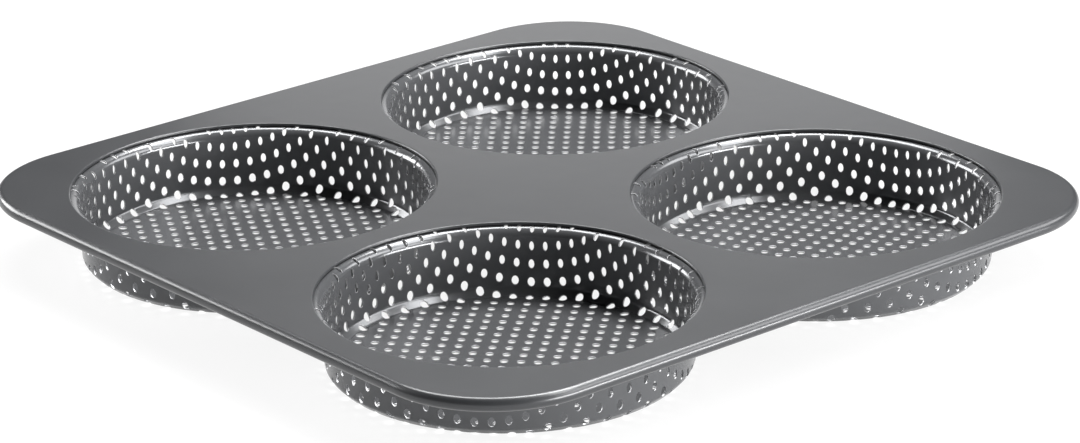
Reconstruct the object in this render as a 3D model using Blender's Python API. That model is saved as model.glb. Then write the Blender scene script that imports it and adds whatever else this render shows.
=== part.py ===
"""Burger bun pan: a square steel deck with a rolled edge that carries four drawn, perforated cups.

Lengths are in metres, +Z is up. The origin is the middle of the square, on the surface the pan
stands on, which is the underside of the cup floors. The front of the pan is -Y.

Every piece is pressed from sheet. The deck is one sheet: its outer edge is rolled down and under,
and the edge of each round opening is folded back flat against its own underside. Each cup is
punched with a square grid of holes while it is a flat disc, and is drawn afterwards, so the holes
in its wall lie on curved rows and come out taller than they are wide. Between the floor and the
wall is a short cone with a small bend at each end. A cup hangs under the deck by the flange round
its mouth, which seats on the folded edge of the opening.
"""

import bmesh
import bpy
from math import atan2, ceil, cos, pi, radians, sin, sqrt
from mathutils import Vector, geometry

MM = 0.001

# Sheets
deck_sheet = 0.5 * MM
cup_sheet = 0.5 * MM

# Deck
opening_radius = 61.5 * MM          # to the nose of the folded edge
web_width = 10.4 * MM               # deck between two openings where they are closest
edge_width = 11.8 * MM              # deck between an opening and the side of the pan
corner_radius = 40.0 * MM           # outside corner, seen from above
roll_radius = 2.3 * MM              # outside of the rolled edge
roll_turn = radians(270)            # how far the edge is rolled round
fold_gap = 3.2 * MM                 # between the cut edges of two neighbouring folds

# Cups, measured on the inside face of the sheet
cup_depth = 23.8 * MM               # deck face to cup floor
wall_draft = radians(1.1)           # lean of the wall, for the cup's release from the tool
foot_lean = radians(45)             # slope of the cone between floor and wall
foot_width = 2.2 * MM               # straight part of the cone, up its slope
foot_bend = 0.6 * MM                # radius at both ends of the cone
shoulder_radius = 3.1 * MM          # radius between wall and flange
mouth_cover = 0.1 * MM              # the nose covers the flange this far past the shoulder
flange_margin = 0.6 * MM            # flange edge inside the cut edge of the fold
seat_gap = 0.3 * MM                 # clearance between the fold and the flange

# Perforation of the flat disc
hole_diameter = 2.55 * MM
hole_pitch = 5.444 * MM             # square grid
grid_symmetry = 4                   # a square grid looks the same after every quarter turn
hole_land = 0.8 * MM                # least sheet between a hole and a bend line
kept_step = 2                       # with kept_cycle: the model keeps one grid hole in five,
kept_cycle = 5                      # evenly spread, each at a place where the real cup has one

# Draw: the middle of the floor keeps its size, and the sheet stretches outside it
stretch_width = 3.2 * MM            # outermost band of the flat floor, which stretches too
draw_ratio = 1.18                   # length after the draw to length before it
diagonal_gain = 0.03                # more than that along the diagonals of the grid, less along it

# Facets
corner_steps = 5                    # along a rounded corner of the deck
roll_steps = 9                      # round the rolled edge
round_steps = 32                    # round an opening or a cup
fold_steps = 2                      # round the nose of a fold
shoulder_steps = 2                  # round the shoulder of a cup
foot_steps = 1                      # round each bend of its foot
hole_steps = 5                      # round a hole, with the area of the round one

CURVE_ANGLE = radians(40)           # edges sharper than this stay sharp when shaded
POINT_MERGE = 1e-6                  # in millimetres, for the triangles of the flat sheet

# Name, column, row, turn of the grid in degrees, and the hole nearest the middle of the cup,
# as shares of the pitch along the two directions of the grid
cup_shares = (
    ("cup_front_left", -1, -1, 41.2, (-0.02, 0.37)),
    ("cup_front_right", 1, -1, 17.3, (0.28, 0.17)),
    ("cup_back_left", -1, 1, 61.7, (0.02, -0.41)),
    ("cup_back_right", 1, 1, 47.4, (0.17, 0.43)),
)

# Deck in plan
cup_spacing = 2 * opening_radius + web_width
pan_side = cup_spacing + 2 * (opening_radius + edge_width)
fold_width = (web_width - fold_gap) / 2

# Heights
deck_top = cup_sheet + cup_depth
deck_underside = deck_top - deck_sheet
fold_underside = deck_underside - deck_sheet
flange_top = fold_underside - seat_gap

# Cup in section
wall_angle = pi / 2 - wall_draft
bend_rise = (foot_bend + shoulder_radius) * (1 - cos(wall_angle))
cone_rise = foot_width * sin(foot_lean)
wall_length = (flange_top - cup_sheet - bend_rise - cone_rise) / sin(wall_angle)
shoulder_end = opening_radius + mouth_cover
foot_radius = shoulder_end - shoulder_radius * sin(wall_angle) - wall_length * cos(wall_angle)
floor_length = foot_radius - foot_bend * sin(wall_angle) - foot_width * cos(foot_lean)
flange_length = opening_radius + fold_width - flange_margin - shoulder_end
draw_start = floor_length - stretch_width


def clear_scene():
    """Start from an empty scene."""
    for item in list(bpy.data.objects):
        bpy.data.objects.remove(item, do_unlink=True)
    for mesh in list(bpy.data.meshes):
        bpy.data.meshes.remove(mesh)


def coated_steel(name, tone, roughness):
    """Dark non-stick coating on steel sheet."""
    material = bpy.data.materials.new(name)
    material.use_nodes = True
    shader = material.node_tree.nodes["Principled BSDF"]
    shader.inputs["Base Color"].default_value = (tone, tone, tone, 1)
    shader.inputs["Metallic"].default_value = 0.6
    shader.inputs["Roughness"].default_value = roughness
    return material


def finish_object(name, mesh_builder, material, parent, place):
    """Turn a finished bmesh into a named, shaded object."""
    bmesh.ops.recalc_face_normals(mesh_builder, faces=mesh_builder.faces)
    mesh = bpy.data.meshes.new(name)
    mesh_builder.to_mesh(mesh)
    mesh_builder.free()
    mesh.materials.append(material)
    mesh.shade_smooth()
    mesh.set_sharp_from_angle(angle=CURVE_ANGLE)
    item = bpy.data.objects.new(name, mesh)
    item.location = place
    item.parent = parent
    bpy.context.scene.collection.objects.link(item)
    return item


def loop_edges(start, count):
    """Index pairs of a closed loop of points."""
    return [(start + step, start + (step + 1) % count) for step in range(count)]


def sheet_triangles(loops):
    """Triangles of the flat area inside the first loop of points, on every point of all loops.

    The area inside a convex loop that is marked as a hole stays open. Each loop is a pair of its
    points and whether it is a hole. A triangle is (loop, step) three times.
    """
    points = []
    edges = []
    owners = []
    for number, (loop, _) in enumerate(loops):
        edges += loop_edges(len(points), len(loop))
        owners += [(number, step) for step in range(len(loop))]
        points += [Vector(point) / MM for point in loop]
    found = geometry.delaunay_2d_cdt(points, edges, [], 0, POINT_MERGE, True)
    faces, sources = found[2], found[3]
    triangles = []
    for face in faces:
        corners = [owners[sources[corner][0]] for corner in face]
        same_loop = len({number for number, _ in corners}) == 1
        if same_loop and loops[corners[0][0]][1]:
            continue
        triangles.append(corners)
    return triangles


def circle_points(radius, steps, centre=(0, 0), turn=0):
    """Points round a circle in plan, anticlockwise."""
    angles = [turn + 2 * pi * step / steps for step in range(steps)]
    return [(centre[0] + radius * cos(angle), centre[1] + radius * sin(angle)) for angle in angles]


def bridge(mesh_builder, lower, upper):
    """Quads between two closed rings of vertices of the same count."""
    count = len(lower)
    for step in range(count):
        ahead = (step + 1) % count
        mesh_builder.faces.new((lower[step], lower[ahead], upper[ahead], upper[step]))


def ring_of(mesh_builder, points, height):
    """Vertices of one ring at one height."""
    return [mesh_builder.verts.new((x, y, height)) for x, y in points]


def square_points(offset):
    """Points round the deck, at an offset outside the line where its edge starts to roll."""
    half = pan_side / 2 - corner_radius
    radius = corner_radius - roll_radius + offset
    points = []
    for column, row, start in ((1, 1, 0), (-1, 1, 1), (-1, -1, 2), (1, -1, 3)):
        for step in range(corner_steps + 1):
            angle = (start + step / corner_steps) * pi / 2
            points.append((column * half + radius * cos(angle), row * half + radius * sin(angle)))
    return points


def cup_centres():
    """Places of the cups in plan."""
    half = cup_spacing / 2
    return [(column * half, row * half) for _, column, row, _, _ in cup_shares]


def build_deck(material, parent):
    """The deck: flat sheet, rolled outer edge and four openings with a folded edge."""
    builder = bmesh.new()

    def roll_ring(radius, turn):
        height = deck_top - roll_radius + radius * cos(turn)
        return ring_of(builder, square_points(radius * sin(turn)), height)

    turns = [roll_turn * step / roll_steps for step in range(roll_steps + 1)]
    outside = [roll_ring(roll_radius, turn) for turn in turns]
    inside = [roll_ring(roll_radius - deck_sheet, turn) for turn in turns]
    for rings in (outside, inside):
        for ring, following in zip(rings, rings[1:]):
            bridge(builder, ring, following)
    bridge(builder, outside[-1], inside[-1])

    nose_radius = opening_radius + deck_sheet
    top_rings = []
    step_rings = []
    for centre in cup_centres():
        def ring(radius, height):
            return ring_of(builder, circle_points(radius, round_steps, centre), height)

        angles = [pi * step / fold_steps for step in range(fold_steps + 1)]
        rings = [ring(nose_radius - deck_sheet * sin(a), deck_underside + deck_sheet * cos(a))
                 for a in angles]
        cut_radius = opening_radius + fold_width
        rings.append(ring(cut_radius, fold_underside))
        rings.append(ring(cut_radius, deck_underside))
        for lower, upper in zip(rings, rings[1:]):
            bridge(builder, lower, upper)
        top_rings.append(rings[0])
        step_rings.append(rings[-1])

    for outer, openings in ((outside[0], top_rings), (inside[0], step_rings)):
        rings = [outer] + openings
        loops = [([vertex.co.xy for vertex in ring], number > 0)
                 for number, ring in enumerate(rings)]
        for corners in sheet_triangles(loops):
            builder.faces.new([rings[number][step] for number, step in corners])

    return finish_object("deck", builder, material, parent, (0, 0, 0))


def cup_path():
    """The inside face of a cup in section, from the middle of the floor to the flange edge.

    Each stretch is (length, turn, steps): a straight run has no turn, and a bend turns the path
    by that angle over its length, in so many facets.
    """
    wall_turn = wall_angle - foot_lean
    return ((floor_length, 0, 1),
            (foot_bend * foot_lean, foot_lean, foot_steps),
            (foot_width, 0, 1),
            (foot_bend * wall_turn, wall_turn, foot_steps),
            (wall_length, 0, 1),
            (shoulder_radius * wall_angle, -wall_angle, shoulder_steps),
            (flange_length, 0, 1))


def draw_point(path, length):
    """Radius, height and slope of the inside face at a length along the path."""
    radius, height, slope = 0, cup_sheet, 0
    for span, turn, _ in path:
        part = min(length, span)
        bend = turn * part / span
        chord = part * sin(bend / 2) / (bend / 2) if bend else part
        radius += chord * cos(slope + bend / 2)
        height += chord * sin(slope + bend / 2)
        slope += bend
        length -= part
        if length <= 0:
            break
    return radius, height, slope


def stretch(bearing):
    """Length after the draw to length before it, at an angle from the rows of holes."""
    return draw_ratio - diagonal_gain * cos(grid_symmetry * bearing)


def blank_radius(length, bearing):
    """Radius on the flat disc of what the draw brings to this length along the path."""
    return min(length, draw_start) + max(length - draw_start, 0) / stretch(bearing)


def drawn_length(radius, bearing):
    """The reverse of blank_radius."""
    return min(radius, draw_start) + max(radius - draw_start, 0) * stretch(bearing)


def ring_lengths(path):
    """Lengths along the path that carry a ring of points, each bend cut into equal parts."""
    lengths = []
    total = 0
    for span, _, steps in path:
        lengths += [total + span * step / steps for step in range(1, steps + 1)]
        total += span
    return lengths


def hole_centres(turn, shift_shares, rings):
    """Centres of the holes that the model keeps, on the flat disc of one cup.

    rings holds the lengths along the path of the bend lines and of the edge. A hole stays clear
    of them, also where the straight side of a ring lies inside its circle.
    """
    clear = hole_reach() * draw_ratio + hole_land
    flat_share = cos(pi / round_steps)
    flange_start = rings[-2]
    reach = ceil(flange_start / hole_pitch)
    centres = []
    for across in range(-reach, reach + 1):
        for along in range(-reach, reach + 1):
            if (across + kept_step * along) % kept_cycle:
                continue
            u = (across + shift_shares[0]) * hole_pitch
            v = (along + shift_shares[1]) * hole_pitch
            length = drawn_length(sqrt(u * u + v * v), atan2(v, u))
            on_bend = any(ring * flat_share - clear < length < ring + clear for ring in rings)
            if on_bend or length > flange_start:
                continue
            centres.append((u * cos(turn) - v * sin(turn), u * sin(turn) + v * cos(turn)))
    return centres


def hole_reach():
    """Centre to corner of a many-sided hole with the area of the round one."""
    return hole_diameter / 2 * sqrt(2 * pi / (hole_steps * sin(2 * pi / hole_steps)))


def build_cup(name, column, row, grid_turn, shift_shares, material, parent):
    """One cup: the disc is punched flat, then drawn to the path and given its thickness."""
    path = cup_path()
    rings = ring_lengths(path)
    turn = radians(grid_turn)

    loops = []
    for length in reversed(rings):
        loop = []
        for step in range(round_steps):
            angle = 2 * pi * step / round_steps
            radius = blank_radius(length, angle - turn)
            loop.append((radius * cos(angle), radius * sin(angle)))
        loops.append((loop, False))
    for centre in hole_centres(turn, shift_shares, rings):
        loops.append((circle_points(hole_reach(), hole_steps, centre, turn), True))

    builder = bmesh.new()
    inner = []
    outer = []
    for loop, _ in loops:
        inner_ring = []
        outer_ring = []
        for x, y in loop:
            distance = sqrt(x * x + y * y)
            length = drawn_length(distance, atan2(y, x) - turn)
            radius, height, slope = draw_point(path, length)
            for ring, depth in ((inner_ring, 0), (outer_ring, cup_sheet)):
                scale = (radius + depth * sin(slope)) / distance
                ring.append(builder.verts.new((x * scale, y * scale, height - depth * cos(slope))))
        inner.append(inner_ring)
        outer.append(outer_ring)

    for corners in sheet_triangles(loops):
        builder.faces.new([inner[number][step] for number, step in corners])
        builder.faces.new([outer[number][step] for number, step in reversed(corners)])
    for number, (_, is_hole) in enumerate(loops):
        if is_hole or number == 0:
            bridge(builder, inner[number], outer[number])

    place = (column * cup_spacing / 2, row * cup_spacing / 2, 0)
    return finish_object(name, builder, material, parent, place)


def build_pan():
    """All pieces, under one empty."""
    clear_scene()
    deck_coating = coated_steel("satin non-stick coating", 0.13, 0.42)
    cup_coating = coated_steel("semi-gloss non-stick coating", 0.08, 0.28)
    pan = bpy.data.objects.new("burger_bun_pan", None)
    bpy.context.scene.collection.objects.link(pan)
    build_deck(deck_coating, pan)
    for name, column, row, grid_turn, shift_shares in cup_shares:
        build_cup(name, column, row, grid_turn, shift_shares, cup_coating, pan)


build_pan()
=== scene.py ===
"""Burger bun pan: the visible pieces, their finishes and the studio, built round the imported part.

Lengths are in metres and +Z is up. The origin is the middle of the pan on the surface it stands
on, and the front of the pan is -Y. The deck and the four cups stand for the CAD nodes of the same
places: the deck has a finely rolled edge and folded openings, and each cup has its whole pattern
of round holes, punched in a flat disc and then drawn.
"""

from math import atan2, ceil, cos, pi, radians, sin, sqrt

import bpy
from bpy.props import FloatProperty, FloatVectorProperty, IntProperty, PointerProperty
from mathutils import Matrix, Vector, geometry


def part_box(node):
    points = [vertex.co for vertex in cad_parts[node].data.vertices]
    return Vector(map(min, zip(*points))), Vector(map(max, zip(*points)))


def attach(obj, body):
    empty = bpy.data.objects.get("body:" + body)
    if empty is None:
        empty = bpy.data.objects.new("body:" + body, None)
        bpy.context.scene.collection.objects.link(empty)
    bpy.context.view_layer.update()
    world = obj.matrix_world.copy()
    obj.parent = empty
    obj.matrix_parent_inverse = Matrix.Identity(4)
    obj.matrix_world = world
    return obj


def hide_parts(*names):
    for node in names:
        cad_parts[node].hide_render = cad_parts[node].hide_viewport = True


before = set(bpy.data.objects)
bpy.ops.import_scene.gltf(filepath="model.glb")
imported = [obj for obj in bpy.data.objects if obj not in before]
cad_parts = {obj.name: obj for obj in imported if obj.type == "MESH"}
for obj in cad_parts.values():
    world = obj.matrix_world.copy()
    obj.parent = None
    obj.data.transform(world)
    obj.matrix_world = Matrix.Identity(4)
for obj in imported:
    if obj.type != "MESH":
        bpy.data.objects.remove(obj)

bl_info = {
    "name": "Burger bun pan",
    "version": (1, 0, 0),
    "blender": (4, 5, 0),
    "location": "View3D > Sidebar > Bun pan",
    "description": "Builds a four-cup perforated burger bun pan and its studio",
    "category": "Object",
}

MM = 0.001
BODY = "root"
UP = Vector((0, 0, 1))
PICTURE_WIDTH = 1080                # of the photograph, in pixels

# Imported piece, column, row, turn of the hole grid in degrees, and the hole nearest the middle of
# the cup, as shares of the pitch along the two directions of the grid
CUPS = (
    ("cup_front_left", -1, -1, 41.2, (-0.02, 0.37)),
    ("cup_front_right", 1, -1, 17.3, (0.28, 0.17)),
    ("cup_back_left", -1, 1, 61.7, (0.02, -0.41)),
    ("cup_back_right", 1, 1, 47.4, (0.17, 0.43)),
)

# Softbox, azimuth from +X towards +Y and elevation in degrees, width and height in metres, and
# power in watts
SOFTBOXES = (
    ("key_softbox", -10, 63, (1.7, 0.4), 27),
    ("top_softbox", 50, 62, (1.3, 0.5), 34),
    ("side_softbox", -42, 35, (1.7, 0.5), 22),
    ("low_softbox", -70, 5, (1.0, 0.25), 34),
    ("back_softbox", 112, 20, (1.0, 0.45), 22),
    ("backdrop_glow", 48.5, 11, (0.55, 0.5), 1.2),
)

FLOOR_REACH = 6                     # from the pan to the edge of the studio's floor, in metres
FLOOR_DROP = 0.2 * MM               # keeps the floor clear of the undersides of the cups
FLOOR_GLOW = 0.9                    # share of the floor's white that takes no shadow

# The coating's patterns. The real grain is finer than the picture shows, so it is drawn coarser.
CLOUD_SIZE = 28 * MM                # thick and thin places of the spray
WAVE_SIZE = 9 * MM                  # waves of the sheet under the coating
WAVE_HEIGHT = 0.03 * MM
GRAIN_SIZE = 0.5 * MM
GLOSS_SPREAD = 0.04                 # of roughness, to both sides
SKIN_ROUGHNESS = 0.17               # of the clear skin on the deck's coating
SHEAR_SIZE = 0.4 * MM               # marks of the punch in a hole's edge

# Numbers of the bends among the stretches of a cup's section, which are listed in Draw
FLOOR_BEND, HEEL, SHOULDER = 1, 3, 5

deck_low, deck_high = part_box("deck")


def linear(code):
    """An sRGB hex colour as the linear red, green, blue and alpha that shaders take."""
    parts = [int(code[start:start + 2], 16) / 255 for start in (1, 3, 5)]
    return [p / 12.92 if p <= 0.04045 else ((p + 0.055) / 1.055) ** 2.4 for p in parts] + [1]


# Sizes and colours that a user would change

def length(name, description, default):
    """A length in metres, shown in the scene's own unit."""
    return FloatProperty(name=name, description=description, default=default, min=0,
                         unit="LENGTH", precision=5)


def angle(name, description, default):
    """An angle, given in degrees."""
    return FloatProperty(name=name, description=description, default=radians(default),
                         subtype="ANGLE")


def colour(name, description, code):
    """A colour, given as an sRGB hex value."""
    return FloatVectorProperty(name=name, description=description, default=linear(code),
                               size=4, min=0, max=1, subtype="COLOR")


class DeckSizes(bpy.types.PropertyGroup):
    """Sizes of the deck."""
    side: length("Side", "Side of the pan over the rolled edge", deck_high.x - deck_low.x)
    top: length("Top", "Height of the deck's face", deck_high.z)
    sheet: length("Sheet", "Thickness of the deck's sheet", 0.5 * MM)
    corner: length("Corner radius", "Outside corner, seen from above", 40 * MM)
    roll: length("Roll radius", "Outside of the rolled edge", 2.3 * MM)
    roll_turn: angle("Roll turn", "How far the edge is rolled round", 270)
    spacing: length("Cup spacing", "Centre to centre of the cups", 133.4 * MM)
    opening: length("Opening radius", "To the nose of the folded edge", 61.5 * MM)
    fold: length("Fold width", "Nose to cut edge of the folded edge", 3.6 * MM)
    hem: length("Fold gap", "Air between the two layers of the folded edge", 0.2 * MM)
    corner_steps: IntProperty(name="Corner steps", description="Facets of a corner", default=24)
    roll_steps: IntProperty(name="Roll steps", description="Facets of the roll", default=36)
    round_steps: IntProperty(name="Round steps", description="Facets of an opening", default=192)
    nose_steps: IntProperty(name="Nose steps", description="Facets of a fold", default=8)


class CupSizes(bpy.types.PropertyGroup):
    """Sizes of a cup, on the inside face of its sheet."""
    sheet: length("Sheet", "Thickness of the cup's sheet", 0.5 * MM)
    draft: angle("Wall draft", "Lean of the wall", 1.1)
    lean: angle("Foot lean", "Slope of the cone between floor and wall", 45)
    width: length("Foot width", "Straight part of the cone, up its slope", 1.9 * MM)
    bend: length("Floor bend", "Radius between floor and cone", 0.9 * MM)
    heel: length("Heel", "Radius between cone and wall", 1.8 * MM)
    shoulder: length("Shoulder", "Radius between wall and flange", 3.1 * MM)
    cover: length("Mouth cover", "The nose covers the flange this far past the shoulder", 0.1 * MM)
    margin: length("Flange margin", "Flange edge inside the cut edge of the fold", 0.6 * MM)
    seat: length("Seat gap", "Clearance between fold and flange", 0.1 * MM)
    stretch: length("Stretched band", "Outermost band of the floor that stretches", 3.2 * MM)
    ratio: FloatProperty(name="Draw ratio", description="Length after the draw to length before",
                         default=1.18, min=1)
    gain: FloatProperty(name="Diagonal gain", description="More than the draw ratio along the "
                        "diagonals of the hole grid, and less along its rows", default=0.03)
    hole: length("Hole diameter", "Of a punched hole", 2.55 * MM)
    give: FloatProperty(name="Hole stretch", description="Length of a drawn hole, to what the "
                        "stretch of the sheet round it gives", default=1.09, min=1)
    pinch: FloatProperty(name="Hole pinch", description="How much more than the sheet round it a "
                         "hole narrows, as a power of the sheet's narrowing", default=1.7, min=0)
    pitch: length("Hole pitch", "Of the square grid of holes", 5.444 * MM)
    rollover: length("Rollover", "Rounding of a hole's edge on the punch side", 0.11 * MM)
    hole_steps: IntProperty(name="Hole steps", description="Facets of a hole", default=12)
    bend_steps: IntProperty(name="Shoulder steps", description="Facets across the shoulder",
                            default=9)
    foot_steps: IntProperty(name="Foot steps", description="Facets across a foot bend", default=6)
    round_steps: IntProperty(name="Round steps", description="Facets round the cup", default=300)


class PanFinishes(bpy.types.PropertyGroup):
    """Colours of the coatings and the studio."""
    deck: colour("Deck coating", "Satin non-stick coating", "#393A3C")
    deck_shade: colour("Deck coating, darker", "Where the spray is thicker", "#353638")
    cup: colour("Cup coating", "Semi-gloss non-stick coating", "#58595B")
    cup_shade: colour("Cup coating, darker", "Where the spray is thicker", "#525355")
    # Pale punched edge: partly bare steel, partly a painted highlight that makes the holes read
    # white
    punched: colour("Punched edge", "Edge of a hole, burnished by the punch", "#C8C8CA")
    paper: colour("Studio paper", "Floor of the studio", "#F7F7F7")


class StudioSettings(bpy.types.PropertyGroup):
    """Camera and lamps."""
    azimuth: angle("Camera azimuth", "Round the pan, from the front", -39.97)
    elevation: angle("Camera elevation", "Above the horizon", 20.23)
    roll: angle("Camera roll", "Tilt of the horizon", -1.07)
    distance: length("Camera distance", "To the middle of the deck", 1437.5 * MM)
    focal: FloatProperty(name="Focal length", description="Focal length in pixels of the picture",
                         default=4295.5, min=1)
    shift: FloatVectorProperty(name="Shift", description="Lens shift right and up, in pixels",
                               size=2, default=(6.7, -34.1))
    sky: FloatProperty(name="Room light", description="Strength of the room's even light",
                       default=0.02, min=0)
    reach: length("Softbox distance", "From the middle of the pan", 1.5)
    level: FloatProperty(name="Softbox level", description="Times the power of every softbox",
                         default=1, min=0)


# Meshes

class Shell:
    """Points, faces, corner normals and finishes of a mesh, gathered face by face."""

    def __init__(self):
        self.points = []
        self.places = {}
        self.faces = []
        self.normals = []
        self.finishes = []

    def point(self, place):
        """Number of the point at this place, to 0.0001 mm, which is made if it is new."""
        key = tuple(round(value / MM, 4) for value in place)
        if key not in self.places:
            self.places[key] = len(self.points)
            self.points.append(place)
        return self.places[key]

    def face(self, places, normals, finish=0):
        """A face with a normal for each corner, turned so that it faces along them."""
        places = list(places)
        normals = list(normals)
        facing = geometry.normal(places)
        if facing.dot(sum(normals, Vector((0, 0, 0)))) < 0:
            places.reverse()
            normals.reverse()
        self.faces.append([self.point(place) for place in places])
        self.normals += normals
        self.finishes.append(finish)

    def band(self, first, second, finish=0):
        """Quads between two closed rings of (place, normal) of the same count."""
        count = len(first)
        for step in range(count):
            ahead = (step + 1) % count
            corners = (first[step], first[ahead], second[ahead], second[step])
            self.face([place for place, _ in corners], [normal for _, normal in corners], finish)

    def piece(self, name, place, materials):
        """The finished object."""
        mesh = bpy.data.meshes.new(name)
        mesh.from_pydata(self.points, [], self.faces)
        for material in materials:
            mesh.materials.append(material)
        mesh.polygons.foreach_set("material_index", self.finishes)
        mesh.shade_smooth()
        mesh.normals_split_custom_set(self.normals)
        item = bpy.data.objects.new(name, mesh)
        item.location = place
        bpy.context.scene.collection.objects.link(item)
        return item


def flat_triangles(points, edges):
    """Triangles on points of a plane, with these pairs of them joined by edges."""
    flat = [Vector(point) / MM for point in points]
    every_triangle, same_point = 0, 1e-6
    made = geometry.delaunay_2d_cdt(flat, edges, [], every_triangle, same_point, True)
    if len(made[0]) != len(points):
        raise RuntimeError("two outlines cross in the flat sheet")
    sources = [source[0] for source in made[3]]
    return [[sources[corner] for corner in face] for face in made[2]]


def loop_pairs(start, count):
    """Number pairs of a closed loop of points."""
    return [(start + step, start + (step + 1) % count) for step in range(count)]


def circle(radius, steps, centre=(0, 0), turn=0):
    """Points round a circle in plan."""
    turns = [turn + 2 * pi * step / steps for step in range(steps)]
    return [(centre[0] + radius * cos(turned), centre[1] + radius * sin(turned))
            for turned in turns]


def outline_ring(outline, out, height, tilt):
    """A ring at an offset outside an outline of (point, outward direction).

    The normal leans outward from straight up by the tilt.
    """
    return [(Vector((*(point + out * away), height)),
             Vector((*(away * sin(tilt)), cos(tilt)))) for point, away in outline]


def deck_outline(sizes):
    """Where the deck's edge starts to roll."""
    half = sizes.side / 2 - sizes.corner
    radius = sizes.corner - sizes.roll
    outline = []
    for column, row, quarters in ((1, 1, 0), (-1, 1, 1), (-1, -1, 2), (1, -1, 3)):
        for step in range(sizes.corner_steps + 1):
            turned = (quarters + step / sizes.corner_steps) * pi / 2
            away = Vector((cos(turned), sin(turned)))
            outline.append((Vector((column * half, row * half)) + radius * away, away))
    return outline


def add_rolled_edge(shell, sizes, outline):
    """The outer edge, rolled outward and under."""
    centre_height = sizes.top - sizes.roll
    inner_radius = sizes.roll - sizes.sheet
    turns = [sizes.roll_turn * step / sizes.roll_steps for step in range(sizes.roll_steps + 1)]

    def ring(radius, turned, tilt):
        return outline_ring(outline, radius * sin(turned),
                            centre_height + radius * cos(turned), tilt)

    for turned, following in zip(turns, turns[1:]):
        shell.band(ring(sizes.roll, turned, turned), ring(sizes.roll, following, following))
        shell.band(ring(inner_radius, turned, turned + pi),
                   ring(inner_radius, following, following + pi))
    end_tilt = sizes.roll_turn + pi / 2
    shell.band(ring(sizes.roll, turns[-1], end_tilt), ring(inner_radius, turns[-1], end_tilt))


def nose_radii(sizes):
    """Radii of the inside and the outside of the fold, where it turns under."""
    inside = sizes.hem / 2
    return inside, inside + sizes.sheet


def add_folded_edge(shell, sizes, centre):
    """The edge of one opening, folded back under the sheet."""
    inside, outside = nose_radii(sizes)
    nose_height = sizes.top - outside
    turns = [pi * step / sizes.nose_steps for step in range(sizes.nose_steps + 1)]
    ways = [Vector(way) for way in circle(1, sizes.round_steps)]
    nose = [(centre + (sizes.opening + outside) * way, way) for way in ways]
    cut = [(centre + (sizes.opening + sizes.fold) * way, way) for way in ways]

    def ring(radius, turned, tilt):
        return outline_ring(nose, -radius * sin(turned), nose_height + radius * cos(turned), tilt)

    for turned, following in zip(turns, turns[1:]):
        shell.band(ring(outside, turned, -turned), ring(outside, following, -following))
        shell.band(ring(inside, turned, pi - turned), ring(inside, following, pi - following))
    low, high = nose_height - outside, nose_height - inside
    shell.band(outline_ring(nose, 0, low, pi), outline_ring(cut, 0, low, pi))
    shell.band(outline_ring(cut, 0, low, pi / 2), outline_ring(cut, 0, high, pi / 2))
    shell.band(outline_ring(nose, 0, high, 0), outline_ring(cut, 0, high, 0))


def add_flat_faces(shell, sizes, outline, centres):
    """The deck's face and underside, between the rolled edge and the noses of the openings."""
    nose_line = sizes.opening + nose_radii(sizes)[1]
    points = [tuple(place) for place, _ in outline]
    edges = loop_pairs(0, len(points))
    owners = [0] * len(points)
    for number, centre in enumerate(centres, 1):
        edges += loop_pairs(len(points), sizes.round_steps)
        points += circle(nose_line, sizes.round_steps, centre)
        owners += [number] * sizes.round_steps
    triangles = flat_triangles(points, edges)
    for height, facing in ((sizes.top, UP), (sizes.top - sizes.sheet, -UP)):
        for triangle in triangles:
            # A triangle with all its corners on one opening lies in that opening
            owner = {owners[corner] for corner in triangle}
            if len(owner) > 1 or owner == {0}:
                shell.face([Vector((*points[corner], height)) for corner in triangle], [facing] * 3)


def build_deck_shell(sizes):
    """The deck: flat sheet, rolled outer edge and four openings with a folded edge."""
    shell = Shell()
    outline = deck_outline(sizes)
    centres = [Vector((column, row)) * sizes.spacing / 2 for _, column, row, _, _ in CUPS]
    add_rolled_edge(shell, sizes, outline)
    for centre in centres:
        add_folded_edge(shell, sizes, centre)
    add_flat_faces(shell, sizes, outline, centres)
    return shell


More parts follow.
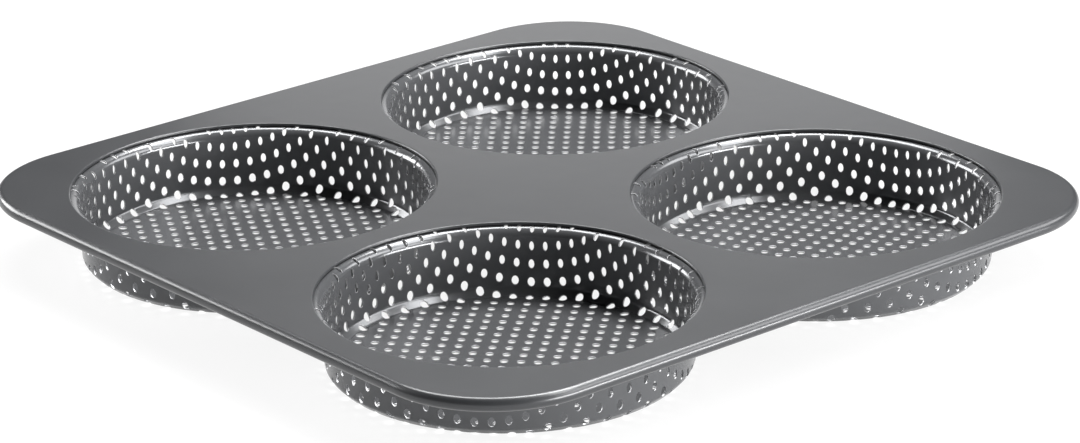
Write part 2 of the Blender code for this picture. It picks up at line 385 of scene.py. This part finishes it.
class Draw:
    """How the punched flat disc of a cup is drawn into its shape."""

    def __init__(self, deck, cup, grid_turn):
        """Work out the inside face in section.

        Its stretches are floor, floor bend, cone, heel, wall, shoulder and flange. Each is
        (length, turn): a straight run has no turn, and a bend turns the path by that angle over
        its length.
        """
        wall_angle = pi / 2 - cup.draft
        wall_turn = wall_angle - cup.lean
        flange_top = deck.top - 2 * deck.sheet - deck.hem - cup.seat
        foot_rise = (cup.bend * (1 - cos(cup.lean)) + cup.width * sin(cup.lean)
                     + cup.heel * (cos(cup.lean) - cos(wall_angle)))
        foot_run = (cup.bend * sin(cup.lean) + cup.width * cos(cup.lean)
                    + cup.heel * (sin(wall_angle) - sin(cup.lean)))
        shoulder_rise = cup.shoulder * (1 - cos(wall_angle))
        wall = (flange_top - cup.sheet - foot_rise - shoulder_rise) / sin(wall_angle)
        shoulder_end = deck.opening + cup.cover
        foot_radius = shoulder_end - cup.shoulder * sin(wall_angle) - wall * cos(wall_angle)
        floor = foot_radius - foot_run
        flange = deck.opening + deck.fold - cup.margin - shoulder_end
        self.cup = cup
        self.grid_turn = grid_turn
        self.start = floor - cup.stretch
        self.path = ((floor, 0), (cup.bend * cup.lean, cup.lean), (cup.width, 0),
                     (cup.heel * wall_turn, wall_turn), (wall, 0),
                     (cup.shoulder * wall_angle, -wall_angle), (flange, 0))
        self.ends = [sum(span for span, _ in self.path[:stretch + 1])
                     for stretch in range(len(self.path))]

    def ratio(self, bearing):
        """Length after the draw to length before it, most on the diagonals of the hole grid."""
        return self.cup.ratio - self.cup.gain * cos(4 * (bearing - self.grid_turn))

    def ring(self, drawn, steps):
        """Points on the flat disc of what comes to this length along the path."""
        points = []
        for bearing in (2 * pi * step / steps for step in range(steps)):
            radius = min(drawn, self.start) + max(drawn - self.start, 0) / self.ratio(bearing)
            points.append((radius * cos(bearing), radius * sin(bearing)))
        return points

    def drawn(self, point):
        """Length along the path of a point of the flat disc."""
        radius = sqrt(point[0] ** 2 + point[1] ** 2)
        ratio = self.ratio(atan2(point[1], point[0]))
        return min(radius, self.start) + max(radius - self.start, 0) * ratio

    def section(self, left):
        """Radius, height and slope of the inside face at a length along the path."""
        out, height, slope = 0, self.cup.sheet, 0
        for span, turn in self.path:
            part = min(left, span)
            bend = turn * part / span
            chord = part * sin(bend / 2) / (bend / 2) if bend else part
            out += chord * cos(slope + bend / 2)
            height += chord * sin(slope + bend / 2)
            slope += bend
            left -= part
            if left <= 0:
                break
        return out, height, slope

    def place(self, point, depth):
        """Where a point of the flat disc comes to, at a depth in the sheet, and its normal."""
        flat = Vector(point)
        away = flat.normalized()
        out, height, slope = self.section(self.drawn(point))
        normal = Vector((*(-away * sin(slope)), cos(slope)))
        return Vector((*(away * out), height)) - depth * normal, normal


def hole_centres(draw, cup, shift):
    """Centres of the holes on the flat disc, as far out as the flange leaves room for them."""
    reach = draw.ends[-1] - cup.hole
    count = ceil(reach / cup.pitch)
    across_way = Vector((cos(draw.grid_turn), sin(draw.grid_turn)))
    along_way = across_way.orthogonal()
    centres = []
    for across in range(-count, count + 1):
        for along in range(-count, count + 1):
            centre = (across + shift[0]) * across_way + (along + shift[1]) * along_way
            centre *= cup.pitch
            if draw.drawn(centre) < reach:
                centres.append(tuple(centre))
    return centres


def hole_outline(draw, cup, centre, radius):
    """A hole on the flat disc, shaped so that the draw leaves it a tall oval in the wall.

    A hole gives more than the sheet round it: it stretches more along the pull and narrows more
    across it.
    """
    flat = Vector(centre)
    round_hole = [Vector(way) for way in circle(radius, cup.hole_steps, turn=draw.grid_turn)]
    if flat.length <= draw.start:
        return [tuple(flat + way) for way in round_hole]
    away = flat.normalized()
    across = away.orthogonal()
    narrowed = (draw.section(draw.drawn(centre))[0] / flat.length) ** cup.pinch
    return [tuple(flat + way.dot(away) * cup.give * away + way.dot(across) * narrowed * across)
            for way in round_hole]


def bend_points(draw, cup, centres):
    """Points on the flat disc that let the sheet follow its bends, clear of the holes."""
    clear = (cup.hole / 2 + 2 * cup.rollover) * cup.give
    rings = []
    for bend, steps in ((FLOOR_BEND, cup.foot_steps), (HEEL, cup.foot_steps),
                        (SHOULDER, cup.bend_steps)):
        inner, outer = draw.ends[bend - 1], draw.ends[bend]
        rings += [inner + (outer - inner) * step / steps for step in range(steps + 1)]

    def cell(point):
        return round(point[0] / cup.pitch), round(point[1] / cup.pitch)

    cells = {}
    for centre in centres:
        cells.setdefault(cell(centre), []).append(centre)
    points = []
    for drawn in rings:
        for point in draw.ring(drawn, cup.round_steps):
            column, row = cell(point)
            near = [centre for dx in (-1, 0, 1) for dy in (-1, 0, 1)
                    for centre in cells.get((column + dx, row + dy), ())]
            if all((Vector(point) - Vector(centre)).length > clear for centre in near):
                points.append(point)
    return points


def build_cup_shell(deck, cup, grid_turn, shift):
    """One cup: the disc is punched flat, then drawn and given its thickness."""
    shell = Shell()
    draw = Draw(deck, cup, grid_turn)
    centres = hole_centres(draw, cup, shift)
    steps = cup.hole_steps
    wide = cup.hole / 2 + cup.rollover
    rim = draw.ring(draw.ends[-1], cup.round_steps)
    sheet = -1
    points = list(rim)
    edges = loop_pairs(0, len(rim))
    owners = [sheet] * len(rim)
    for number, centre in enumerate(centres):
        edges += loop_pairs(len(points), steps)
        points += hole_outline(draw, cup, centre, wide)
        owners += [number] * steps
    spare = bend_points(draw, cup, centres)
    points += spare
    owners += [sheet] * len(spare)

    inner = [draw.place(point, 0) for point in points]
    narrow = list(points)
    start = len(rim)
    lips = []
    for centre in centres:
        hole = hole_outline(draw, cup, centre, cup.hole / 2)
        narrow[start:start + steps] = hole
        lips.append((start, hole, centre))
        start += steps
    outer = [draw.place(point, cup.sheet) for point in narrow]

    for triangle in flat_triangles(points, edges):
        # A triangle with all its corners on one hole lies in that hole
        owner = {owners[corner] for corner in triangle}
        if len(owner) == 1 and owner != {sheet}:
            continue
        shell.face([inner[c][0] for c in triangle], [inner[c][1] for c in triangle])
        shell.face([outer[c][0] for c in triangle], [-outer[c][1] for c in triangle])

    for start, hole, centre in lips:
        middle, along = draw.place(centre, 0)
        lip = [draw.place(point, cup.rollover)[0] for point in hole]
        facing = [((middle - place) - (middle - place).dot(along) * along).normalized()
                  for place in lip]
        top = inner[start:start + steps]
        low = [place for place, _ in outer[start:start + steps]]
        shell.band(top, list(zip(lip, facing)), 1)
        shell.band(list(zip(lip, facing)), list(zip(low, facing)), 1)

    away = [Vector((*point, 0)).normalized() for point in rim]
    shell.band([(inner[n][0], way) for n, way in enumerate(away)],
               [(outer[n][0], way) for n, way in enumerate(away)])
    return shell


# Materials

def add_node(tree, kind, inputs=(), **settings):
    """Add a node with its settings, and give its inputs values or link other nodes' outputs."""
    node = tree.nodes.new(kind)
    for name, value in settings.items():
        setattr(node, name, value)
    for name, value in dict(inputs).items():
        if isinstance(value, bpy.types.NodeSocket):
            tree.links.new(value, node.inputs[name])
        else:
            node.inputs[name].default_value = value
    return node


def new_material(name):
    """An empty node material, and its tree."""
    material = bpy.data.materials.new(name)
    material.use_nodes = True
    material.node_tree.nodes.clear()
    return material, material.node_tree


def coated_steel(name, light, dark, roughness, metallic, specular, skin, grain_height):
    """Non-stick coating sprayed on steel sheet and baked.

    Metal flakes in it give a soft sheen, and a clear skin, where it has one, a sharper one, so
    edges catch thin bright lines. The spray leaves a fine grain, and a slow change of tone where
    it lies thicker. The sheet under it is not quite flat, so long reflections waver a little.
    """
    material, tree = new_material(name)
    where = add_node(tree, "ShaderNodeTexCoord").outputs["Object"]
    cloud = add_node(tree, "ShaderNodeTexNoise", {
        "Vector": where, "Scale": 1 / CLOUD_SIZE, "Detail": 3, "Roughness": 0.6})
    grain = add_node(tree, "ShaderNodeTexNoise", {
        "Vector": where, "Scale": 1 / GRAIN_SIZE, "Detail": 2, "Roughness": 0.5})
    wave = add_node(tree, "ShaderNodeTexNoise", {
        "Vector": where, "Scale": 1 / WAVE_SIZE, "Detail": 1, "Roughness": 0.4})
    tone = add_node(tree, "ShaderNodeMix", {
        "Factor": cloud.outputs["Fac"], "A": dark, "B": light}, data_type="RGBA")
    gloss = add_node(tree, "ShaderNodeMapRange", {
        "Value": cloud.outputs["Fac"], "To Min": roughness - GLOSS_SPREAD,
        "To Max": roughness + GLOSS_SPREAD})
    waver = add_node(tree, "ShaderNodeBump", {
        "Height": wave.outputs["Fac"], "Distance": WAVE_HEIGHT, "Strength": 1})
    bump = add_node(tree, "ShaderNodeBump", {
        "Height": grain.outputs["Fac"], "Distance": grain_height, "Strength": 1,
        "Normal": waver.outputs["Normal"]})
    shader = add_node(tree, "ShaderNodeBsdfPrincipled", {
        "Base Color": tone.outputs["Result"], "Metallic": metallic,
        "Roughness": gloss.outputs["Result"], "Normal": bump.outputs["Normal"],
        "Specular IOR Level": specular, "Coat Weight": skin, "Coat Roughness": SKIN_ROUGHNESS,
        "Coat Normal": waver.outputs["Normal"]})
    add_node(tree, "ShaderNodeOutputMaterial", {"Surface": shader.outputs["BSDF"]})
    return material


def punched_edge(colours):
    """Steel that the punch has sheared and burnished.

    It is brighter than the coated faces, so each hole shows a pale rim. The pale colour is
    partly bare steel and partly a painted highlight, which makes the holes read white.
    """
    material, tree = new_material("punched_steel_and_painted_highlight")
    where = add_node(tree, "ShaderNodeTexCoord").outputs["Object"]
    shear = add_node(tree, "ShaderNodeTexNoise", {
        "Vector": where, "Scale": 1 / SHEAR_SIZE, "Detail": 2})
    # The pale tone of the cut edge is partly a painted highlight
    tone = add_node(tree, "ShaderNodeMix", {
        "Factor": shear.outputs["Fac"], "A": colours.cup, "B": colours.punched}, data_type="RGBA")
    shader = add_node(tree, "ShaderNodeBsdfPrincipled", {
        "Base Color": tone.outputs["Result"], "Metallic": 1, "Roughness": 0.45})
    add_node(tree, "ShaderNodeOutputMaterial", {"Surface": shader.outputs["BSDF"]})
    return material


def studio_paper(colours):
    """Seamless white paper, matt.

    The camera and the pan's gloss see it nearly white all over, under the pan's soft shadow.
    """
    material, tree = new_material("studio_paper")
    path = add_node(tree, "ShaderNodeLightPath").outputs
    shown = add_node(tree, "ShaderNodeMath", {
        0: path["Is Camera Ray"], 1: path["Is Transmission Ray"]}, operation="MAXIMUM")
    seen = add_node(tree, "ShaderNodeMath", {
        0: shown.outputs[0], 1: path["Is Glossy Ray"]}, operation="MAXIMUM")
    even = add_node(tree, "ShaderNodeMath", {
        0: seen.outputs[0], 1: FLOOR_GLOW}, operation="MULTIPLY")
    paper = add_node(tree, "ShaderNodeBsdfDiffuse", {"Color": colours.paper})
    glow = add_node(tree, "ShaderNodeEmission", {"Color": (1, 1, 1, 1), "Strength": 1})
    mix = add_node(tree, "ShaderNodeMixShader", {
        "Fac": even.outputs[0], 1: paper.outputs[0], 2: glow.outputs[0]})
    add_node(tree, "ShaderNodeOutputMaterial", {"Surface": mix.outputs[0]})
    return material


# Studio

def room_light(settings):
    """The room: white where the camera sees it, and dim and even where it lights the pan."""
    world = bpy.data.worlds.new("studio_room")
    bpy.context.scene.world = world
    world.use_nodes = True
    tree = world.node_tree
    tree.nodes.clear()
    path = add_node(tree, "ShaderNodeLightPath").outputs
    dim = add_node(tree, "ShaderNodeBackground", {"Color": (1, 1, 1, 1), "Strength": settings.sky})
    white = add_node(tree, "ShaderNodeBackground", {"Color": (1, 1, 1, 1), "Strength": 1})
    mix = add_node(tree, "ShaderNodeMixShader", {
        "Fac": path["Is Camera Ray"], 1: dim.outputs[0], 2: white.outputs[0]})
    add_node(tree, "ShaderNodeOutputWorld", {"Surface": mix.outputs[0]})


def softbox(name, azimuth, elevation, reach, size, power):
    """A soft rectangular lamp that faces the middle of the pan from a distance."""
    back = Vector((cos(azimuth) * cos(elevation), sin(azimuth) * cos(elevation), sin(elevation)))
    lamp = bpy.data.lights.new(name, "AREA")
    lamp.shape = "RECTANGLE"
    lamp.size, lamp.size_y = size
    lamp.energy = power
    item = bpy.data.objects.new(name, lamp)
    item.location = back * reach
    item.rotation_mode = "QUATERNION"
    item.rotation_quaternion = (-back).to_track_quat("-Z", "Y")
    bpy.context.scene.collection.objects.link(item)


def photo_camera(settings, deck_top):
    """The camera at the photograph's view."""
    data = bpy.data.cameras.new("photo_view")
    data.sensor_fit = "HORIZONTAL"
    data.lens = data.sensor_width * settings.focal / PICTURE_WIDTH
    data.shift_x = settings.shift[0] / PICTURE_WIDTH
    data.shift_y = settings.shift[1] / PICTURE_WIDTH
    data.clip_start = 10 * MM
    azimuth, elevation = settings.azimuth, settings.elevation
    back = Vector((sin(azimuth) * cos(elevation), -cos(azimuth) * cos(elevation), sin(elevation)))
    right = Vector((cos(azimuth), sin(azimuth), 0))
    above = back.cross(right)
    turn = Matrix((right, above, back)).transposed() @ Matrix.Rotation(settings.roll, 3, "Z")
    item = bpy.data.objects.new("photo_view", data)
    item.matrix_world = Matrix.Translation(back * settings.distance + UP * deck_top) @ turn.to_4x4()
    bpy.context.scene.collection.objects.link(item)
    bpy.context.scene.camera = item


# Operators

class PanOperator:
    """What the operators share."""
    bl_options = {"REGISTER", "UNDO"}

    @staticmethod
    def fit(piece, node, slot):
        """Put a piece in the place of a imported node."""
        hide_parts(node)
        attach(piece, BODY)


class BUNPAN_OT_deck(PanOperator, bpy.types.Operator):
    """Build the deck with its rolled edge and folded openings"""
    bl_idname = "bun_pan.deck"
    bl_label = "Build deck"

    def execute(self, context):
        colours = context.scene.pan_finishes
        coating = coated_steel("satin_nonstick_coating", colours.deck, colours.deck_shade,
                               roughness=0.37, metallic=0.3, specular=0.3, skin=0.35,
                               grain_height=0.004 * MM)
        piece = build_deck_shell(context.scene.pan_deck).piece("deck_sheet", (0, 0, 0), [coating])
        self.fit(piece, "deck", "deck_coating")
        return {"FINISHED"}


class BUNPAN_OT_cups(PanOperator, bpy.types.Operator):
    """Build the four perforated cups"""
    bl_idname = "bun_pan.cups"
    bl_label = "Build cups"

    def execute(self, context):
        scene = context.scene
        colours = scene.pan_finishes
        # The smoother coating draws the lamps out into long bands along the bends
        coating = coated_steel("semigloss_nonstick_coating", colours.cup, colours.cup_shade,
                               roughness=0.2, metallic=0.4, specular=0.5, skin=0,
                               grain_height=0.003 * MM)
        edge = punched_edge(colours)
        half = scene.pan_deck.spacing / 2
        for node, column, row, turn, shift in CUPS:
            shell = build_cup_shell(scene.pan_deck, scene.pan_cups, radians(turn), shift)
            piece = shell.piece(node + "_sheet", (column * half, row * half, 0), [coating, edge])
            self.fit(piece, node, "cup_coating")
        return {"FINISHED"}


class BUNPAN_OT_studio(PanOperator, bpy.types.Operator):
    """Set up the floor, the lamps, the room light and the camera"""
    bl_idname = "bun_pan.studio"
    bl_label = "Set up studio"

    def execute(self, context):
        scene = context.scene
        settings = scene.pan_studio
        mesh = bpy.data.meshes.new("studio_floor")
        corners = [(column * FLOOR_REACH, row * FLOOR_REACH, 0)
                   for column, row in ((-1, -1), (1, -1), (1, 1), (-1, 1))]
        mesh.from_pydata(corners, [], [(0, 1, 2, 3)])
        mesh.materials.append(studio_paper(scene.pan_finishes))
        floor = bpy.data.objects.new("studio_floor", mesh)
        floor.location.z = -FLOOR_DROP
        scene.collection.objects.link(floor)
        room_light(settings)
        for name, azimuth, elevation, size, power in SOFTBOXES:
            softbox(name, radians(azimuth), radians(elevation), settings.reach, size,
                    power * settings.level)
        photo_camera(settings, scene.pan_deck.top)
        scene.view_settings.view_transform = "Standard"
        return {"FINISHED"}


class BUNPAN_PT_panel(bpy.types.Panel):
    """Sizes, colours and build steps of the pan."""
    bl_idname = "BUNPAN_PT_panel"
    bl_label = "Burger bun pan"
    bl_space_type = "VIEW_3D"
    bl_region_type = "UI"
    bl_category = "Bun pan"

    def draw(self, context):
        for group, kind, label in GROUPS:
            box = self.layout.box()
            box.label(text=label)
            for name in kind.__annotations__:
                box.prop(getattr(context.scene, group), name)
        for operator in (BUNPAN_OT_deck, BUNPAN_OT_cups, BUNPAN_OT_studio):
            self.layout.operator(operator.bl_idname)


GROUPS = (
    ("pan_deck", DeckSizes, "Deck"),
    ("pan_cups", CupSizes, "Cups"),
    ("pan_finishes", PanFinishes, "Finishes"),
    ("pan_studio", StudioSettings, "Studio"),
)
CLASSES = tuple(kind for _, kind, _ in GROUPS) + (
    BUNPAN_OT_deck, BUNPAN_OT_cups, BUNPAN_OT_studio, BUNPAN_PT_panel)


def register():
    """Register the classes and hang the settings on the scene."""
    for kind in CLASSES:
        bpy.utils.register_class(kind)
    for group, kind, _ in GROUPS:
        setattr(bpy.types.Scene, group, PointerProperty(type=kind))


def unregister():
    """Undo register."""
    for group, _, _ in GROUPS:
        delattr(bpy.types.Scene, group)
    for kind in reversed(CLASSES):
        bpy.utils.unregister_class(kind)


def main():
    """Build everything."""
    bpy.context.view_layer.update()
    register()
    bpy.ops.bun_pan.deck()
    bpy.ops.bun_pan.cups()
    bpy.ops.bun_pan.studio()
    bpy.context.view_layer.update()


if __name__ == "__main__":
    main()
